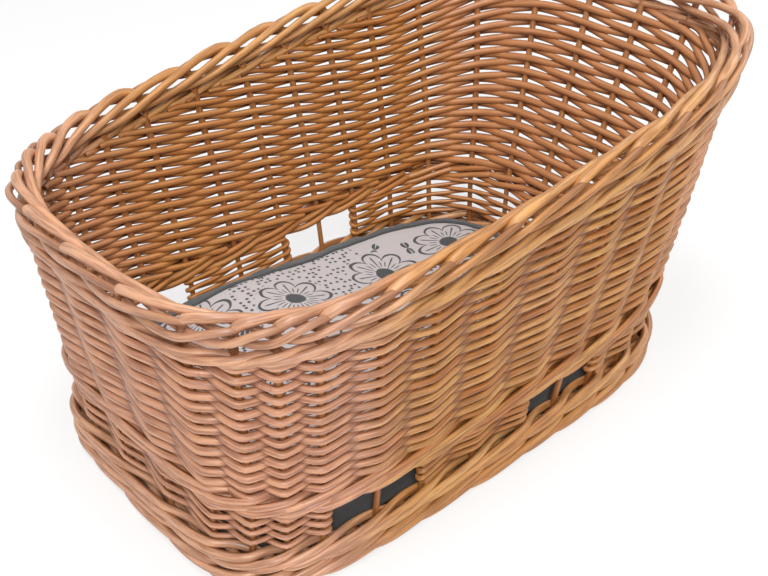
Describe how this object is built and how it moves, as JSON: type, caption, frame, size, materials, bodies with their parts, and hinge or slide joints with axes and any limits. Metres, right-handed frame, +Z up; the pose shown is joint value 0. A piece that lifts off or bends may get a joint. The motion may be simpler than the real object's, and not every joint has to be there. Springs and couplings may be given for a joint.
{
  "type": "dog bicycle basket",
  "caption": "Open willow dog basket for a bicycle carrier: tapered oval body with a raised end, window gaps low on each long side, rope-like border and a lift-out cushion.",
  "frame": {"origin": "middle of the basket's underside, on the surface that it stands on", "axes": "+X towards the raised end, +Y to the right as seen from behind the raised end, +Z up"},
  "size_m": [0.5794, 0.389, 0.2983],
  "materials": {
    "willow_gold": "satin, unvarnished",
    "willow_pale": "satin, unvarnished",
    "willow_dark": "satin, unvarnished",
    "printed_cotton": "matte woven",
    "dark_cotton": "matte woven",
    "foam": "matte open cell"
  },
  "bodies": {
    "basket": {"base_weave": "willow_gold", "base_stick_1": "willow_dark", "base_stick_2": "willow_dark", "base_stick_3": "willow_dark", "base_stick_4": "willow_dark", "base_stick_5": "willow_dark", "base_stick_6": "willow_dark", "base_stick_7": "willow_dark", "foot_wale": "willow_pale", "stake_01": "willow_dark", "stake_02": "willow_dark", "stake_03": "willow_dark", "stake_04": "willow_dark", "stake_05": "willow_dark", "stake_06": "willow_dark", "stake_07": "willow_dark", "stake_08": "willow_dark", "stake_09": "willow_dark", "stake_10": "willow_dark", "stake_11": "willow_dark", "stake_12": "willow_dark", "stake_13": "willow_dark", "stake_14": "willow_dark", "stake_15": "willow_dark", "stake_16": "willow_dark", "stake_17": "willow_dark", "stake_18": "willow_dark", "stake_19": "willow_dark", "stake_20": "willow_dark", "stake_21": "willow_dark", "stake_22": "willow_dark", "stake_23": "willow_dark", "stake_24": "willow_dark", "stake_25": "willow_dark", "stake_26": "willow_dark", "stake_27": "willow_dark", "stake_28": "willow_dark", "stake_29": "willow_dark", "stake_30": "willow_dark", "stake_31": "willow_dark", "stake_32": "willow_dark", "lower_weave_front": "willow_gold", "lower_weave_rear": "willow_gold", "lower_weave_right": "willow_gold", "lower_weave_left": "willow_gold", "middle_wale": "willow_pale", "side_weave": "willow_gold", "top_wale": "willow_pale", "border_rod_1": "willow_pale", "border_rod_2": "willow_pale", "border_rod_3": "willow_pale", "border_rod_4": "willow_pale"},
    "cushion": {"cushion_side_and_base": "dark_cotton", "cushion_foam": "foam", "cushion_top_panel": "printed_cotton", "cushion_edge_binding": "dark_cotton"}
  },
  "joints": [
    {"name": "cushion_lift", "type": "slide", "parent": "basket", "child": "cushion", "axis": [0, 0, 1], "range_m": [0, 0.33]}
  ]
}
